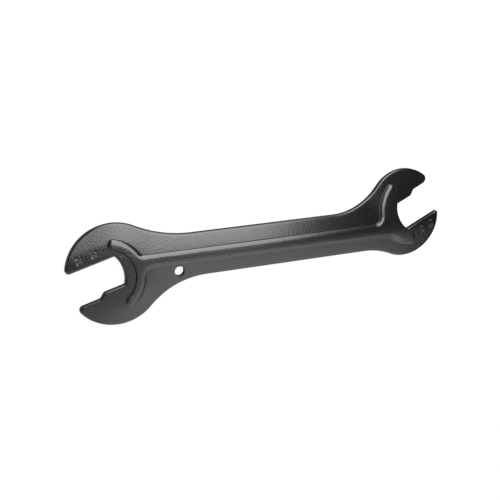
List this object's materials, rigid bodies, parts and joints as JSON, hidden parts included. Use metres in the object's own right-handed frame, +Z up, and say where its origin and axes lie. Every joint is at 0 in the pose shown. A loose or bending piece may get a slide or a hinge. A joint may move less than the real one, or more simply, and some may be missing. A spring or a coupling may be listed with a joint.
{
  "type": "pedal wrench",
  "caption": "Flat pressed-steel double-ended open wrench with stepped jaws, a raised stiffening rib and a hang hole, in satin black.",
  "frame": {"origin": "under the middle of the overall box, on the surface that the wrench lies on", "axes": "+X along the handle, from the 13/15 mm head to the 14/16 mm head; +Z up out of the rib side; the wrench lies rib side up"},
  "size_m": [0.1788, 0.054, 0.0035],
  "materials": {
    "black_coating": "satin black powder coat on pressed steel sheet, with a fine orange-peel surface"
  },
  "bodies": {
    "root": {"wrench": "black_coating"}
  },
  "joints": []
}
